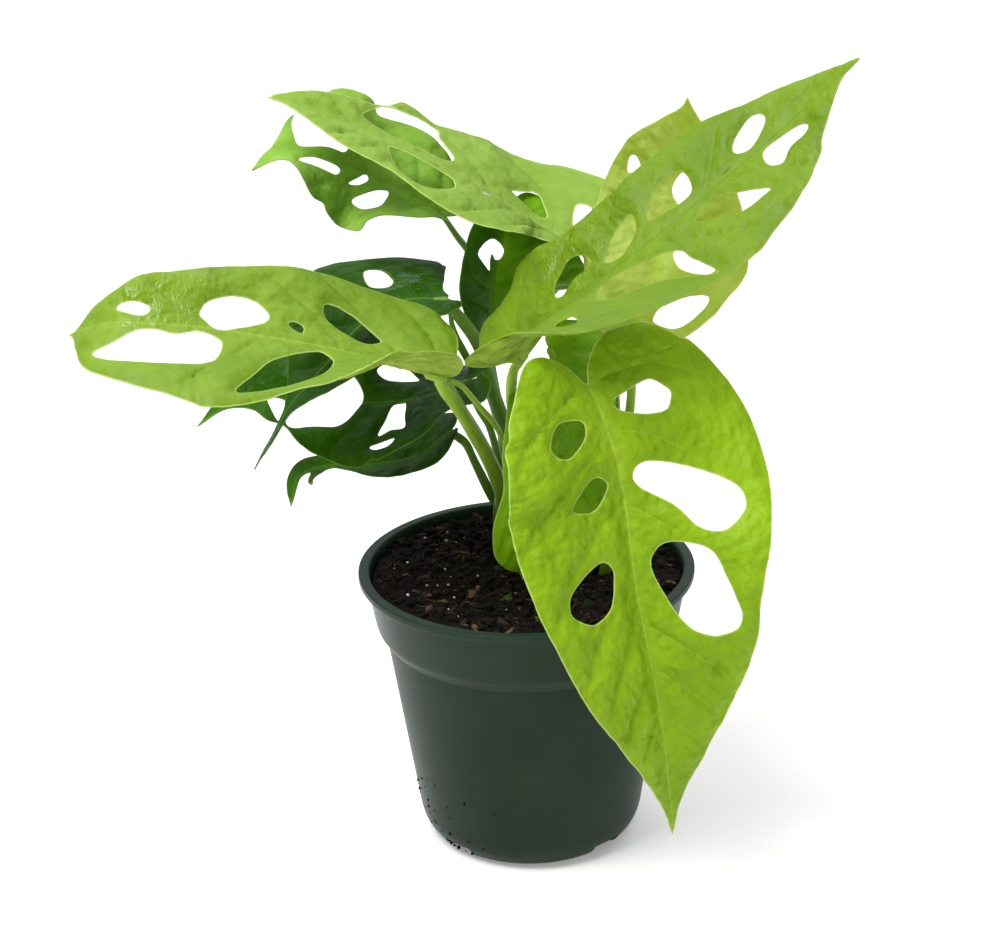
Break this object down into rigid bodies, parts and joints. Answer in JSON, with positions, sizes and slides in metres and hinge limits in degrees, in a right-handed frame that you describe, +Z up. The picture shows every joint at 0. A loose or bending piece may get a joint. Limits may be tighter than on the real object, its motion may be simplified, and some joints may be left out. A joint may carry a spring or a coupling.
{
  "type": "potted swiss cheese vine",
  "caption": "Young swiss cheese vine with holed lime and dark green leaves on curved petioles, standing in soil in a round dark nursery pot.",
  "frame": {"origin": "centre of the pot's underside, where the pot's axis meets the surface it stands on", "axes": "+Z up along the pot's axis, -Y towards the side the plant is seen from in the picture, +X to that viewer's right"},
  "size_m": [0.2506, 0.1833, 0.2712],
  "materials": {
    "pot_green": "satin dark grey-green moulded plastic",
    "soil_brown": "rough moist potting mix",
    "leaf_lime": "satin, thin and translucent",
    "leaf_dark": "satin to glossy, thin and translucent",
    "leaf_green": "satin, thin and translucent",
    "petiole_pale": "smooth satin",
    "petiole_dark": "smooth satin"
  },
  "bodies": {
    "root": {"pot": "pot_green", "soil": "soil_brown", "leaf_front": "leaf_lime", "leaf_left": "leaf_lime", "leaf_upper_left": "leaf_lime", "leaf_upper_right": "leaf_lime", "leaf_back_right": "leaf_lime", "leaf_dark_upper_left": "leaf_dark", "leaf_dark_left": "leaf_dark", "leaf_dark_lower_left": "leaf_dark", "leaf_dark_lowest": "leaf_dark", "leaf_dark_centre": "leaf_dark", "leaf_green_hanging": "leaf_green", "petiole_left": "petiole_pale", "petiole_sheath": "petiole_pale", "petiole_upper_right": "petiole_pale", "petiole_green_hanging": "petiole_pale", "petiole_front": "petiole_pale", "petiole_back_right": "petiole_pale", "petiole_upper_left": "petiole_pale", "main_stem": "petiole_dark", "second_stem": "petiole_dark", "petiole_dark_left": "petiole_dark", "petiole_dark_lower_left": "petiole_dark", "petiole_dark_lowest": "petiole_dark", "petiole_dark_upper_left": "petiole_dark", "petiole_dark_centre": "petiole_dark"}
  },
  "joints": []
}
